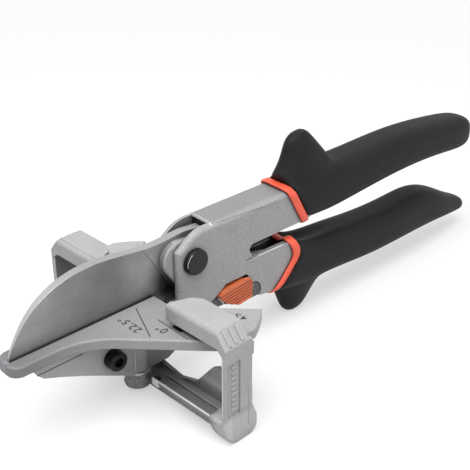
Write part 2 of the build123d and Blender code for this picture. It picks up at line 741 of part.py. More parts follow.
def build_table():
    """Aluminium anvil table: nose, two 45 degree wings, strip slot, marks and a centre rib."""
    corner, edge_x, arc_middle, elbow_x, step_y = wing_outline()
    nose = table_nose_half_width
    front_corner_x = wing_half_width - wing_front_offset
    start, middle, end = arc_corner((-table_reach, -nose), (elbow_x, -nose),
                                    (front_corner_x, -wing_half_width), wing_sweep_radius)
    tip_a, tip_m, tip_b = arc_corner((-table_reach, 0), (-table_reach, -nose), (elbow_x, -nose),
                                     nose_corner_radius)
    corner_a, corner_m, corner_b = arc_corner((elbow_x, -nose), (front_corner_x, -wing_half_width),
                                              (edge_x, -wing_half_width), wing_corner_radius)
    step = (-step_y - wing_back_offset, step_y)
    half = make_face([
        Line((-table_reach, 0), tip_a), ThreePointArc(tip_a, tip_m, tip_b), Line(tip_b, start),
        ThreePointArc(start, middle, end), Line(end, corner_a),
        ThreePointArc(corner_a, corner_m, corner_b), Line(corner_b, (edge_x, -wing_half_width)),
        ThreePointArc((edge_x, -wing_half_width), arc_middle, corner), Line(corner, step),
        Line(step, (table_step_x, 0)), Line((table_step_x, 0), (-table_reach, 0)),
    ])
    plate = both_sides(extrude(Plane.XY.offset(-table_thickness) * half, amount=table_thickness))
    plate = chamfer(plate.faces().sort_by(Axis.Z)[-1].outer_wire().edges(), table_edge_round)
    slot = strip_width / 2 + seat_gap
    plate -= block((-table_reach - overrun, table_step_x + overrun), (-slot, slot), (-strip_depth, overrun))
    rib = block((rib_front_x, rib_rear_x), (-rib_thickness / 2, rib_thickness / 2),
                (-table_thickness - rib_depth, -table_thickness + seat_gap))
    rib &= carrier_side(-rib_thickness, rib_thickness, sheet)
    plate += rib
    plate -= rod_y(clamp_screw_radius + pin_fit, clamp_screw_x, clamp_screw_z, -wing_radius, wing_radius)
    square_line = block((square_line_start, square_line_end), (-line_width / 2, line_width / 2),
                        (-line_depth, overrun))
    mark_line = block((mark_line_start, mark_line_end), (-line_width / 2, line_width / 2),
                      (-line_depth, overrun))
    for side in (-1, 1):
        plate -= Rot(0, 0, side * 90) * square_line
        plate -= Rot(0, 0, side * (90 + mark_angle)) * mark_line
    return plate


def build_strip():
    """Black anvil strip let into the table, which the blade closes on."""
    half = strip_width / 2
    return block((-table_reach, table_step_x - table_edge_round), (-half, half),
                 (-strip_depth + seat_gap, 0))


def carrier_side(y_low, y_high, inset):
    """Side shape of the carrier, drawn in from below by an inset."""
    top = -table_thickness
    belly = spread(carrier_belly_shares, carrier_front_x, -carrier_front_x, top, carrier_bottom - top)
    points = [(x, z + inset) for x, z in belly]
    points[0] = (carrier_front_x + inset, top)
    rounded = [points[0]] + [(x, z, carrier_half_width / 2) for x, z in points[1:4]] + points[4:]
    return slab_xz(rounded + [(hub_radius, carrier_bottom + inset), (hub_radius, top)], y_low, y_high)


def build_carrier():
    """Casting that grips the table's rib, takes the fence's screw and runs into the handle."""
    half = carrier_half_width
    top = -table_thickness
    body = carrier_side(-half, half, 0)
    tail_half = cheek_inner - slide_gap
    rear_x = cheek_front_x - slide_gap
    rear = slab_xz([(0, top), (rear_x, top), (rear_x, carrier_bottom + half / 2, half / 2),
                    (cheek_front_x - half, carrier_bottom, half / 2), (0, carrier_bottom)], -half, half)
    tail = slab_xz([(cheek_front_x - half, carrier_tail_top - half),
                    (table_step_x + half, carrier_tail_top),
                    (carrier_tail_x, carrier_tail_top, half / 3),
                    (carrier_tail_x, clasp_bottom - half / 2, half / 2),
                    (cheek_front_x - half, carrier_bottom + half)], -tail_half, tail_half)
    body += rear + tail
    body += rod_z(carrier_boss_radius, 0, 0, carrier_bottom, top)
    room = rib_thickness / 2 + slide_gap
    pocket = block((carrier_front_x, rib_rear_x + slide_gap), (-room, room),
                   (top - rib_depth - slide_gap, top + overrun))
    body -= pocket & carrier_side(-half, half, sheet - slide_gap)
    body -= rod_y(clamp_screw_radius + pin_fit, clamp_screw_x, clamp_screw_z, -wing_radius, wing_radius)
    body -= rod_z(fence_screw_radius + pin_fit, 0, 0, carrier_bottom - overrun,
                  carrier_bottom + fence_screw_reach)
    for z in clasp_rivet_heights():
        body -= rod_y(clasp_rivet_radius + pin_fit, clasp_rivet_x, z, -wing_radius, wing_radius)
    return body


def build_clamp_screw():
    """Black socket screw through the carrier and the table's rib."""
    seat = carrier_half_width
    head = rod_y(clamp_head_radius, clamp_screw_x, clamp_screw_z, -seat - clamp_head_height, -seat)
    head = chamfer(head.edges().group_by(Axis.Y)[0], bolt_head_round / 2)
    shank = rod_y(clamp_screw_radius, clamp_screw_x, clamp_screw_z, -seat - slide_gap,
                  seat + clamp_nut_height + slide_gap)
    socket = extrude(Plane.XZ.offset(seat + clamp_head_height - clamp_hex_depth)
                     * Pos(clamp_screw_x, clamp_screw_z) * RegularPolygon(clamp_hex_radius, 6),
                     amount=clamp_hex_depth + overrun)
    return head + shank - socket


def build_clamp_nut():
    """Hexagon nut on the clamp screw's far end."""
    seat = carrier_half_width
    nut = extrude(Plane.XZ.offset(-seat - clamp_nut_height) * Pos(clamp_screw_x, clamp_screw_z)
                  * RegularPolygon(clamp_nut_radius, 6), amount=clamp_nut_height)
    return nut - rod_y(clamp_screw_radius + pin_fit, clamp_screw_x, clamp_screw_z, 0, wing_radius)


def fence_arm():
    """Near arm above the table, with its slanted inner end and sloped shoulder."""
    face = fence_face_x
    corner = arm_inner_corner
    outer = -fence_half_width
    arm = slab_xy([(face, -arm_inner_y),
                   (arm_rear_x - corner, -arm_inner_rear_y + corner / 2, corner),
                   (arm_rear_x, -arm_inner_rear_y - corner, corner),
                   (arm_rear_x, outer), (face, outer)], arm_bottom, arm_top)
    arm = fillet(arm.edges().filter_by(Axis.Y).group_by(Axis.Z)[-1].group_by(Axis.X)[0], arm_front_round)
    return arm - slab_yz([(outer + shoulder_inset, arm_top + overrun),
                          (outer + shoulder_inset, arm_top),
                          (outer, arm_top - shoulder_drop),
                          (outer - overrun, arm_top - shoulder_drop),
                          (outer - overrun, arm_top + overrun)], face - overrun, arm_rear_x + overrun)


def fence_foot():
    """Foot that stands on the bench under an upright."""
    front = fence_face_x
    rear = upright_rear_x + foot_flare
    foot = slab_xz([(front, foot_top), (upright_rear_x, foot_top),
                    (rear, (foot_top - table_height) / 2, foot_rear_radius),
                    (rear, -table_height, foot_rear_radius),
                    (front + foot_front_inset, -table_height, foot_front_radius),
                    (front, -table_height + foot_front_rise, foot_rear_radius / 2)],
                   -fence_half_width, -foot_inner_y)
    outer_edges = foot.faces().sort_by(Axis.Y)[0].edges().sort_by(Axis.Z)[:-1]
    foot = fillet(outer_edges, foot_edge_round)
    foot -= slab_yz([(-foot_inner_y + overrun, -table_height - overrun),
                     (-foot_inner_y + overrun, rail_bottom),
                     (-foot_inner_y, rail_bottom), (-foot_floor_y, -table_height),
                     (-foot_floor_y, -table_height - overrun)], front - overrun, rear + overrun)
    return foot - block((front - overrun, rear + overrun), (-upright_inner_y, 0),
                        (rail_top, foot_top + overrun))


def fence_half():
    """Near half of the fence: arm, upright, foot and rail with its back wall."""
    face = fence_face_x
    outer = -fence_half_width
    wall_top = arm_top - shoulder_drop
    upright = block((face, upright_rear_x), (outer, -upright_inner_y), (foot_top - foot_flare, wall_top))
    inner = arm_bottom - running_gap
    inner_web = slab_yz([(-upright_inner_y - seat_gap, arm_bottom + seat_gap),
                         (-upright_inner_y + inner, arm_bottom + seat_gap),
                         (-upright_inner_y - seat_gap, arm_bottom - inner)], face, arm_rear_x)
    half = fence_arm() + upright + inner_web + fence_foot() + rail_half()
    recess = block((face + panel_front_inset, upright_rear_x - panel_rear_inset),
                   (outer - overrun, outer + upright_frame), (panel_bottom, wall_top - shoulder_drop))
    return half - recess


def rail_half():
    """Near half of the base rail, a channel open above with a lip along its front edge."""
    outer = -upright_inner_y - seat_gap
    floor_top = rail_bottom + rail_wall
    floor = block((rail_front_x, rail_rear_x), (outer, 0), (rail_bottom, floor_top))
    front = block((rail_front_x, rail_front_x + rail_wall), (outer, -rail_lip_start_y),
                  (rail_bottom, rail_top))
    lip = block((rail_front_x - rail_lip_reach, rail_front_x + rail_wall), (outer, -rail_lip_start_y),
                (rail_top - rail_lip_thickness, rail_top))
    rib = block((rail_rib_x, rail_rib_x + rail_wall / 2), (outer, -rail_lip_start_y),
                (floor_top - seat_gap, floor_top + rail_rib_height))
    wall_height = gusset_top - rail_bottom
    crest = spread(back_wall_shares, 0, upright_inner_y, rail_bottom, wall_height)
    wall = slab_yz([(-y, z) for y, z in crest] + [(-crest[-1][0], rail_bottom), (0, rail_bottom)],
                   rail_rear_x - rail_wall, rail_rear_x)
    return floor + front + lip + rib + wall


def build_fence():
    """One casting: two arms above the table joined by uprights and a rail that passes below it."""
    fence = both_sides(fence_half())
    fence += rod_z(hub_radius, 0, 0, hub_bottom, hub_top)
    fence -= rod_z(fence_screw_radius + pin_fit, 0, 0, hub_bottom - overrun, hub_top + overrun)
    fence -= rod_z(fence_screw_head_radius + slide_gap, 0, 0, hub_bottom - overrun,
                   hub_bottom + fence_screw_head_height)
    return Rot(0, 0, fence_rest_angle) * fence


def build_fence_screw():
    """Screw from below that the fence turns on."""
    head_top = hub_bottom + fence_screw_head_height - seat_gap
    head = rod_z(fence_screw_head_radius, 0, 0, hub_bottom + seat_gap, head_top)
    shank = rod_z(fence_screw_radius, 0, 0, head_top - seat_gap,
                  carrier_bottom + fence_screw_reach - slide_gap)
    socket = extrude(Plane.XY.offset(hub_bottom - overrun) * RegularPolygon(clamp_hex_radius, 6),
                     amount=overrun + fence_screw_head_height / 2)
    return head + shank - socket


def build_fence_washer():
    """Washer between the carrier and the fence's hub."""
    washer = rod_z(hub_radius - seat_gap, 0, 0, hub_top + seat_gap, carrier_bottom - seat_gap)
    return washer - rod_z(fence_screw_radius + pin_fit, 0, 0, hub_bottom, 0)


os.makedirs("parts", exist_ok=True)

save(build_blade(), "blade")
save(build_upper_handle(), "upper_handle")
save(build_lower_handle(), "lower_handle")
save(build_upper_band(), "upper_grip_band")
save(build_upper_grip(), "upper_grip")
save(build_lower_band(), "lower_grip_band")
save(build_lower_grip(), "lower_grip")
save(build_pivot_bolt(), "pivot_bolt")
save(build_pivot_nut(), "pivot_nut")
save(build_pivot_bush(), "pivot_bush")
save(build_pivot_washer(), "near_pivot_washer")
save(mirror(build_pivot_washer(), about=Plane.XZ), "far_pivot_washer")
for name, (rivet_x, rivet_z) in zip(("front_blade_rivet", "rear_blade_rivet"), blade_rivet_places()):
    save(rod_y(blade_rivet_radius, rivet_x, rivet_z, -plate_outer, plate_outer), name)
save(build_latch_lever(), "latch_lever")
save(build_latch_cover(), "latch_cover")
save(rod_y(latch_rivet_radius, latch_x, latch_z, -cheek_outer + latch_inset, -plate_inner), "latch_rivet")
save(build_table(), "anvil_table")
save(build_strip(), "anvil_strip")
save(build_carrier(), "table_carrier")
save(build_clamp_screw(), "clamp_screw")
save(build_clamp_nut(), "clamp_nut")
for name, rivet_z in zip(("upper_clasp_rivet", "lower_clasp_rivet"), clasp_rivet_heights()):
    save(rod_y(clasp_rivet_radius, clasp_rivet_x, rivet_z, -cheek_outer, cheek_outer), name)
save(build_fence(), "mitre_fence")
save(build_fence_screw(), "fence_screw")
save(build_fence_washer(), "fence_washer")
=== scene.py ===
import json
import math
import random

import bmesh
import bpy
from mathutils import Matrix, Vector


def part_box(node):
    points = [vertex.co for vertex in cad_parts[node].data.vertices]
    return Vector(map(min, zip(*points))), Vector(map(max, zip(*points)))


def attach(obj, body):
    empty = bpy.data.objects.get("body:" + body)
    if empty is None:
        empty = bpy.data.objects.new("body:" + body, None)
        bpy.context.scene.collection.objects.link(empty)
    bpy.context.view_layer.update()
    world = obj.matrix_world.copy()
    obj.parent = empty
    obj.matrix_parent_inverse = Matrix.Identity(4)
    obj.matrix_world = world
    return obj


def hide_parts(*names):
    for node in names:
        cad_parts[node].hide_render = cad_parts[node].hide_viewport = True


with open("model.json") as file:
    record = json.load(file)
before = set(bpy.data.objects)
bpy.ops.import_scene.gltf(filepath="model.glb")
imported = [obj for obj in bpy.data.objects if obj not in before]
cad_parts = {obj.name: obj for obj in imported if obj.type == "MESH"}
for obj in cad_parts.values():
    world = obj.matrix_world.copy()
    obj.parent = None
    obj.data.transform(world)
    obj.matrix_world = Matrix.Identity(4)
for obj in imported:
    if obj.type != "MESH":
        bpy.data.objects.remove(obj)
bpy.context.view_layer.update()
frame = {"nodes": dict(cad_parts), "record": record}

# Mitre shears. +X runs along the table towards the grips, -Y is the near side and +Z is up from the bench.
# Sizes and places are written in millimetres, and MM turns them into metres. Angles are in degrees.
MM = 0.001
nodes = frame["nodes"]

# Places that the details follow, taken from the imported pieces, in millimetres
table_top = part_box("anvil_table")[1].z / MM
bolt_low, bolt_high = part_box("pivot_bolt")
pivot = (bolt_low + bolt_high) / 2 / MM
bolt_face = bolt_low.y / MM
band_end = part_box("lower_grip_band")[1].x / MM

near_and_far = ((-1, "near"), (1, "far"))


# Node helpers for the materials

def new_material(name):
    """Empty node material, its node tree and its output's surface socket."""
    material = bpy.data.materials.new(name)
    material.use_nodes = True
    tree = material.node_tree
    tree.nodes.clear()
    output = tree.nodes.new("ShaderNodeOutputMaterial")
    return material, tree, output.inputs["Surface"]


def node(tree, kind, **settings):
    """New node with its settings."""
    made = tree.nodes.new(kind)
    for key, value in settings.items():
        setattr(made, key, value)
    return made


def feed(tree, socket, value):
    """Link a socket to another one, or set it to a number or a colour."""
    if isinstance(value, bpy.types.NodeSocket):
        tree.links.new(value, socket)
    elif isinstance(value, (int, float)):
        socket.default_value = value
    else:
        socket.default_value = (*value, 1)


def own_point(tree):
    """The piece's own coordinates."""
    return node(tree, "ShaderNodeTexCoord").outputs["Object"]


def noise(tree, point, size, detail=4, roughness=0.55):
    """Noise whose cells are about one size across."""
    made = node(tree, "ShaderNodeTexNoise")
    feed(tree, made.inputs["Vector"], point)
    feed(tree, made.inputs["Scale"], 1 / size)
    feed(tree, made.inputs["Detail"], detail)
    feed(tree, made.inputs["Roughness"], roughness)
    return made.outputs["Fac"]


def arithmetic(tree, operation, *values):
    """Result of an operation on one or two numbers or sockets."""
    made = node(tree, "ShaderNodeMath", operation=operation)
    for socket, value in zip(made.inputs, values):
        feed(tree, socket, value)
    return made.outputs[0]


def remap(tree, value, low, high, to_low, to_high):
    """Value moved from one range to another and held inside it."""
    made = node(tree, "ShaderNodeMapRange")
    for name, number in (("From Min", low), ("From Max", high), ("To Min", to_low), ("To Max", to_high)):
        feed(tree, made.inputs[name], number)
    feed(tree, made.inputs["Value"], value)
    return made.outputs["Result"]


def mix_colour(tree, factor, first, second, blend="MIX"):
    """Two colours, or a socket and a colour, mixed by a factor. The node's colour sockets go by number."""
    made = node(tree, "ShaderNodeMix", data_type="RGBA", blend_type=blend)
    for socket, value in ((made.inputs[0], factor), (made.inputs[6], first), (made.inputs[7], second)):
        feed(tree, socket, value)
    return made.outputs[2]


def grey(value):
    """Colour of a plain grey."""
    return (value,) * 3


def times(tree, tone, share):
    """A colour multiplied by a share."""
    return mix_colour(tree, 1.0, tone, grey(share), "MULTIPLY")


def zone(tree, limits, soft):
    """1 inside a box of the piece's own coordinates, falling to 0 over a soft border outside it."""
    split = node(tree, "ShaderNodeSeparateXYZ")
    feed(tree, split.inputs[0], own_point(tree))
    parts = []
    for axis, low, high in limits:
        parts.append(remap(tree, split.outputs[axis], low - soft, low, 0, 1))
        parts.append(remap(tree, split.outputs[axis], high, high + soft, 1, 0))
    inside = parts[0]
    for part in parts[1:]:
        inside = arithmetic(tree, "MULTIPLY", inside, part)
    return inside


# Parts of a surface. Each range says where a noise or a measure of the shape starts to tell and where it is
# at its full. The size of the patches in the painted edge highlight is in millimetres.

ray_samples = 6
cloud_range = (0.3, 0.7)
dark_fleck_range = (0.52, 0.7)
light_fleck_range = (0.48, 0.3)
facing_range = (0.5, 0.9)
edge_turn_range = (0.995, 0.85)
highlight_patch_size = 2
highlight_patch_range = (0.35, 0.65)
least_highlight_share = 0.4
open_range = (0.05, 0.85)


def mottled(tree, point, colour, spread, mottle):
    """Colour that drifts lighter and darker."""
    dark = [part * (1 - spread) for part in colour]
    light = [min(1, part * (1 + spread)) for part in colour]
    cloud = noise(tree, point, mottle, detail=3)
    return mix_colour(tree, remap(tree, cloud, *cloud_range, 0, 1), dark, light)


def with_rim_highlight(tree, tone, rim_highlight_colour):
    """Painted highlight: another colour on the faces that don't look along Y."""
    facing = node(tree, "ShaderNodeSeparateXYZ")
    feed(tree, facing.inputs[0], node(tree, "ShaderNodeNewGeometry").outputs["Normal"])
    side = arithmetic(tree, "ABSOLUTE", facing.outputs["Y"])
    return mix_colour(tree, remap(tree, side, *facing_range, 1, 0), tone, rim_highlight_colour)


def flecked(tree, tone, fine, fleck):
    """Fine dark and light flecks."""
    dark = times(tree, tone, 1 - fleck)
    light = times(tree, tone, 1 + fleck)
    tone = mix_colour(tree, remap(tree, fine, *dark_fleck_range, 0, 1), tone, dark)
    return mix_colour(tree, remap(tree, fine, *light_fleck_range, 0, 1), tone, light)


def rounded_normal(tree, radius):
    """Normal of a piece whose sharp edges look rounded."""
    rounded = node(tree, "ShaderNodeBevel", samples=ray_samples)
    feed(tree, rounded.inputs["Radius"], radius)
    return rounded.outputs["Normal"]


def highlit_edges(tree, tone, point, radius, colour, share):
    """Painted highlight on the edges, uneven in patches."""
    turn = node(tree, "ShaderNodeVectorMath", operation="DOT_PRODUCT")
    feed(tree, turn.inputs[0], rounded_normal(tree, radius))
    feed(tree, turn.inputs[1], node(tree, "ShaderNodeNewGeometry").outputs["Normal"])
    edges = remap(tree, turn.outputs["Value"], *edge_turn_range, 0, 1)
    uneven = remap(tree, noise(tree, point, highlight_patch_size * MM), *highlight_patch_range, share * least_highlight_share, share)
    return mix_colour(tree, arithmetic(tree, "MULTIPLY", edges, uneven), tone, colour)


def shaded_hollows(tree, tone, corner_shade, reach):
    """Painted shade: darker corners and hollows."""
    hidden = node(tree, "ShaderNodeAmbientOcclusion", samples=ray_samples)
    feed(tree, hidden.inputs["Distance"], reach)
    open_share = remap(tree, hidden.outputs["AO"], *open_range, 1 - corner_shade, 1)
    return mix_colour(tree, 1.0, tone, open_share, "MULTIPLY")


def grained(tree, fine, soft_edge, depth):
    """Normal with rounded edges and a fine grain."""
    bump = node(tree, "ShaderNodeBump")
    feed(tree, bump.inputs["Strength"], 1)
    feed(tree, bump.inputs["Distance"], depth)
    feed(tree, bump.inputs["Height"], fine)
    feed(tree, bump.inputs["Normal"], rounded_normal(tree, soft_edge))
    return bump.outputs["Normal"]


def finish_surface(name, colour, spread=0.06, fleck=0.1, metal=0.0, rough=(0.4, 0.5), grain=0.5,
                   grain_depth=0.02, mottle=9, edge=0.25, edge_highlight_colour=None, edge_highlight_share=0.6, soft_edge=0.35,
                   specular=0.5, corner_shade=0.6, corner_shade_reach=8, rim_highlight_colour=None, shades=()):
    """Surface with mottled colour, fine grain, rounded edges, painted edge highlights and painted shade in
    corners.

    The grain and its depth, the mottle, the edges and the reach are in millimetres.
    """
    material, tree, surface = new_material(name)
    shader = node(tree, "ShaderNodeBsdfPrincipled")
    feed(tree, surface, shader.outputs["BSDF"])
    point = own_point(tree)
    fine = noise(tree, point, grain * MM, detail=5, roughness=0.65)
    tone = mottled(tree, point, colour, spread, mottle * MM)
    if rim_highlight_colour:
        tone = with_rim_highlight(tree, tone, rim_highlight_colour)
    for limits, soft, share in shades:
        tone = mix_colour(tree, zone(tree, limits, soft), tone, times(tree, tone, share))
    tone = flecked(tree, tone, fine, fleck)
    if edge_highlight_colour:
        tone = highlit_edges(tree, tone, point, edge * MM, edge_highlight_colour, edge_highlight_share)
    if corner_shade:
        tone = shaded_hollows(tree, tone, corner_shade, corner_shade_reach * MM)
    feed(tree, shader.inputs["Base Color"], tone)
    feed(tree, shader.inputs["Roughness"], remap(tree, fine, *cloud_range, *rough))
    feed(tree, shader.inputs["Metallic"], metal)
    feed(tree, shader.inputs["Specular IOR Level"], specular)
    feed(tree, shader.inputs["Normal"], grained(tree, fine, soft_edge * MM, grain_depth * MM))
    return material


# Shades: boxes of the piece's own coordinates where its colour is multiplied by a share. A share below 1 is
# painted shade and one above 1 painted light, save strip_end_light, which colours the black strip's front end
# like the casting round it.
# A range that ends at past_all is open on that side.

past_all = 200


def shade(share, soft, **ranges):
    """Share, soft border and ranges of x, y and z in millimetres. An axis that isn't named has no limit."""
    limits = [("xyz".index(axis), low * MM, high * MM) for axis, (low, high) in ranges.items()]
    return limits, soft * MM, share


# Painted shade on the handles: in the upper handle's hollow front end and on its top, in the gaps between the
# lower handle's plates in front of the pivot, behind the latch's tongue and in the lower handle's hollow.
upper_hollow_shade = shade(0.06, 0.2, x=(34.5, 35.4), y=(-5.9, 5.9), z=(40, 64.4))
upper_top_shade = shade(0.72, 2.5, x=(36, past_all), y=(-4.5, past_all), z=(65, past_all))
plate_gap_shade = [shade(0.3, 0.15, x=(8, 17.5), y=plate_gap, z=(40, past_all))
               for plate_gap in ((-2.7, -2.5), (-3.7, -3.5))]
tongue_recess_shade = shade(0.3, 0.3, x=(36, 42.5), y=(-4.8, -4.2), z=(18, 30))
lower_hollow_shade = shade(0.3, 0.3, x=(56, 90), y=(-6.6, 4.6), z=(25, 41.2))

# Painted shade and painted light on the fence: shadow on the rail and round the hub under the table, shade on
# the rail's top, the near arm's front, the far upright's inner face and the near foot's outer face, and light
# on the near rail's back wall, the hub and the feet.
rail_shadow_under_table = shade(0.6, 2.5, y=(-43, 43), z=(-past_all, 12))
hub_surround_shade = shade(0.5, 14, y=(-12, 12), z=(3, 16))
rail_top_shade = shade(0.45, 0.15, x=(-1.5, 4), y=(-44, 44), z=(12.35, 13))
near_arm_front_shade = shade(0.78, 0.4, x=(-8, -0.4), y=(-past_all, 0), z=(38, past_all))
near_rail_back_light = shade(1.7, 5, x=(9, 13), y=(-43, -18), z=(6, 13))
far_upright_inside_shade = shade(0.5, 0.2, y=(48.5, 50.6), z=(15, 42))
hub_light = shade(1.9, 0.5, x=(-9, 0), y=(-9, 9), z=(-past_all, 10.4))
near_foot_outside_shade = shade(0.86, 1, x=(5, past_all), y=(-past_all, -51.2), z=(-past_all, 15))
near_foot_light = shade(1.35, 2, y=(-past_all, -47), z=(-past_all, 12))
far_foot_light = shade(1.35, 2, y=(47, past_all), z=(-past_all, 12))

# Painted shade on the carrier: by its tail behind the table, behind its boss and low down.
carrier_tail_shade = shade(0.08, 0.5, x=(12.8, past_all), z=(32, past_all))
carrier_back_shade = shade(0.6, 1.2, x=(2.2, past_all))
carrier_underside_shade = shade(0.8, 5, z=(-past_all, 16))

# Painted shade towards the table's tip, painted light on the far wing's top and the near wing's end.
table_tip_shade = shade(0.62, 36, x=(-past_all, -50))
far_wing_top_light = shade(1.4, 5, x=(-30, past_all), y=(27, past_all), z=(40.9, past_all))
near_wing_end_light = shade(1.2, 5, x=(16, past_all), y=(-past_all, -26), z=(40.9, past_all))

# Painted light at the blade's tip and middle, painted shade at its heel.
blade_tip_light = shade(1.22, 14, x=(-past_all, -42))
blade_middle_light = shade(1.28, 7, x=(-1, 8), z=(48, 58))
blade_heel_shade = shade(0.12, 10, x=(13, past_all), z=(-past_all, 47))
strip_end_light = shade(20, 0.3, x=(-past_all, -55.5))


# Materials

def painted_handle(name, shades=()):
    """Grey paint on one of the pressed handles, with painted highlights on its edges and painted shade in its
    hollows.
    """
    return finish_surface(name, (0.36, 0.365, 0.375), spread=0.03, fleck=0.24, rough=(0.4, 0.52), grain=0.7,
                          edge=0.5, edge_highlight_colour=grey(0.9), edge_highlight_share=1.0, corner_shade=0.88, corner_shade_reach=14,
                          shades=shades)


def casting(name, colour, shades=()):
    """Fine blasted casting, with painted highlights on its edges and painted shade in its hollows."""
    return finish_surface(name, colour, spread=0.05, fleck=0.16, rough=(0.5, 0.65), grain=0.55,
                          grain_depth=0.03, edge=0.4, edge_highlight_colour=grey(0.8), edge_highlight_share=0.55,
                          soft_edge=0.5, corner_shade_reach=10, shades=shades)


handle_paint = painted_handle("handle_grey")
# The handles' paint and the carrier's, fence's and table's finishes come in copies that carry the painted
# shade and painted light of their boxes.
upper_paint = painted_handle("handle_grey_upper", (upper_hollow_shade, upper_top_shade))
lower_paint = painted_handle("handle_grey_lower", (*plate_gap_shade, tongue_recess_shade, lower_hollow_shade))
cast_metal = casting("casting_grey", (0.5, 0.5, 0.505))
# Light casting grey for painted highlights along lips, rims and edges.
highlight_metal = casting("highlight_grey", (0.72, 0.72, 0.725))
carrier_metal = casting("carrier_grey", (0.4, 0.4, 0.405), (
    carrier_tail_shade, carrier_back_shade, carrier_underside_shade))
fence_metal = casting("fence_grey", (0.43, 0.43, 0.435), (
    rail_shadow_under_table, hub_surround_shade, rail_top_shade, near_arm_front_shade, near_rail_back_light, far_upright_inside_shade,
    hub_light, near_foot_outside_shade, near_foot_light, far_foot_light))
table_metal = finish_surface("table_grey", (0.33, 0.33, 0.335), spread=0.04, fleck=0.15, rough=(0.42, 0.56),
                             grain=0.55, grain_depth=0.015, edge_highlight_colour=grey(0.65), soft_edge=0.5,
                             corner_shade_reach=1.5, shades=(table_tip_shade, far_wing_top_light, near_wing_end_light))
# Paint a little lighter than the handles': painted highlight along the fold.
fold_highlight_paint = finish_surface("fold_highlight_grey", (0.4, 0.4, 0.405), fleck=0.16, rough=(0.3, 0.42), grain_depth=0.01,
                            corner_shade=0)
# Dark grey for lines of painted shade along creases and edges.
crease_shade_paint = finish_surface("crease_shade_grey", (0.22, 0.22, 0.225), spread=0.1, fleck=0.2, rough=(0.5, 0.6),
                              grain_depth=0.01, corner_shade=0)
seam_paint = finish_surface("seam_grey", (0.31, 0.315, 0.325), spread=0.03, fleck=0.24, rough=(0.4, 0.52),
                            grain=0.7, corner_shade=0)
# Near-black paint in the table's grooves and figures, also used for pieces of painted shade.
groove_paint_and_shade = finish_surface("groove_dark", (0.035, 0.035, 0.037), spread=0.2, rough=(0.6, 0.8), grain=0.4,
                              grain_depth=0.01, corner_shade=0)
# Blade steel with a painted highlight on its rims and edges, painted light at its tip and middle and painted
# shade at its heel.
blade_steel = finish_surface("blade_steel", (0.27, 0.27, 0.275), spread=0.16, metal=0.6, rough=(0.36, 0.5),
                             grain=0.6, grain_depth=0.005, mottle=16, edge_highlight_colour=(0.75, 0.75, 0.76),
                             edge_highlight_share=0.8, corner_shade=0.5, corner_shade_reach=3, rim_highlight_colour=(0.4, 0.4, 0.41),
                             shades=(blade_tip_light, blade_middle_light, blade_heel_shade))
plain_steel = finish_surface("plain_steel", (0.45, 0.45, 0.46), spread=0.05, metal=0.7, rough=(0.3, 0.42),
                             grain_depth=0.005, edge_highlight_colour=grey(0.8))
dark_steel = finish_surface("dark_steel", (0.075, 0.082, 0.088), spread=0.1, metal=0.5, rough=(0.25, 0.35),
                            grain_depth=0.005, edge_highlight_colour=grey(0.6), edge_highlight_share=0.9)
# Black steel of the bolt, also used for painted shade in the gap round the latch's hub.
black_steel_and_gap_shade = finish_surface("bolt_black", (0.009, 0.009, 0.01), spread=0.2, rough=(0.35, 0.5), grain=0.4,
                             grain_depth=0.006, edge_highlight_colour=(0.16, 0.16, 0.165), edge_highlight_share=0.8, specular=0.3)
screw_black = finish_surface("screw_black", (0.006, 0.006, 0.0065), spread=0.2, rough=(0.3, 0.45),
                             grain=0.4, grain_depth=0.006, edge_highlight_colour=(0.09, 0.09, 0.095), edge_highlight_share=0.9,
                             specular=0.22)
# Near-white for painted highlights.
glint_steel = finish_surface("glint_steel", grey(0.92), spread=0.03, fleck=0.05, rough=(0.2, 0.3),
                             grain_depth=0.005, corner_shade=0)
grip_skin = finish_surface("grip_black", (0.0115, 0.0115, 0.013), spread=0.12, fleck=0.2, rough=(0.5, 0.66),
                           grain=0.8, grain_depth=0.03, mottle=20, specular=0.18, corner_shade=0)
band_skin = finish_surface("band_red", (0.95, 0.125, 0.065), spread=0.05, fleck=0.08, rough=(0.34, 0.46),
                           grain_depth=0.01, edge_highlight_colour=(1, 0.36, 0.26), corner_shade=0.4, corner_shade_reach=4)
latch_plastic = finish_surface("latch_orange", (0.7, 0.16, 0.06), spread=0.08, rough=(0.38, 0.5), grain=0.4,
                               grain_depth=0.012, edge_highlight_colour=(1, 0.36, 0.16), corner_shade=0.5, corner_shade_reach=1)
strip_plastic = finish_surface("strip_black", (0.012, 0.012, 0.013), spread=0.15, rough=(0.35, 0.45),
                               grain_depth=0.01, shades=(strip_end_light,))

by_slot = {"handle_grey": handle_paint, "casting_grey": cast_metal, "blade_steel": blade_steel,
           "plain_steel": plain_steel, "bolt_black": black_steel_and_gap_shade, "grip_black": grip_skin,
           "band_red": band_skin, "latch_orange": latch_plastic, "strip_black": strip_plastic}
by_node = {"upper_handle": upper_paint, "lower_handle": lower_paint, "anvil_table": table_metal,
           "table_carrier": carrier_metal, "mitre_fence": fence_metal, "latch_lever": dark_steel,
           "latch_rivet": dark_steel, "clamp_screw": screw_black}


def dress(piece, material):
    """Give a piece one material on every slot."""
    piece.data.materials.clear()
    piece.data.materials.append(material)


for row in frame["record"]["subparts"]:
    dress(nodes[row["node"]], by_node.get(row["node"], by_slot[row["material_slot"]]))


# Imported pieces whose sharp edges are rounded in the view, with their meshes as they are. An edge that turns
# by less than the least turn stays.

edge_radii = {"mitre_fence": 0.7, "table_carrier": 0.5, "latch_cover": 0.25, "pivot_bolt": 0.3}
weld_gap = 0.001
least_turn = 32


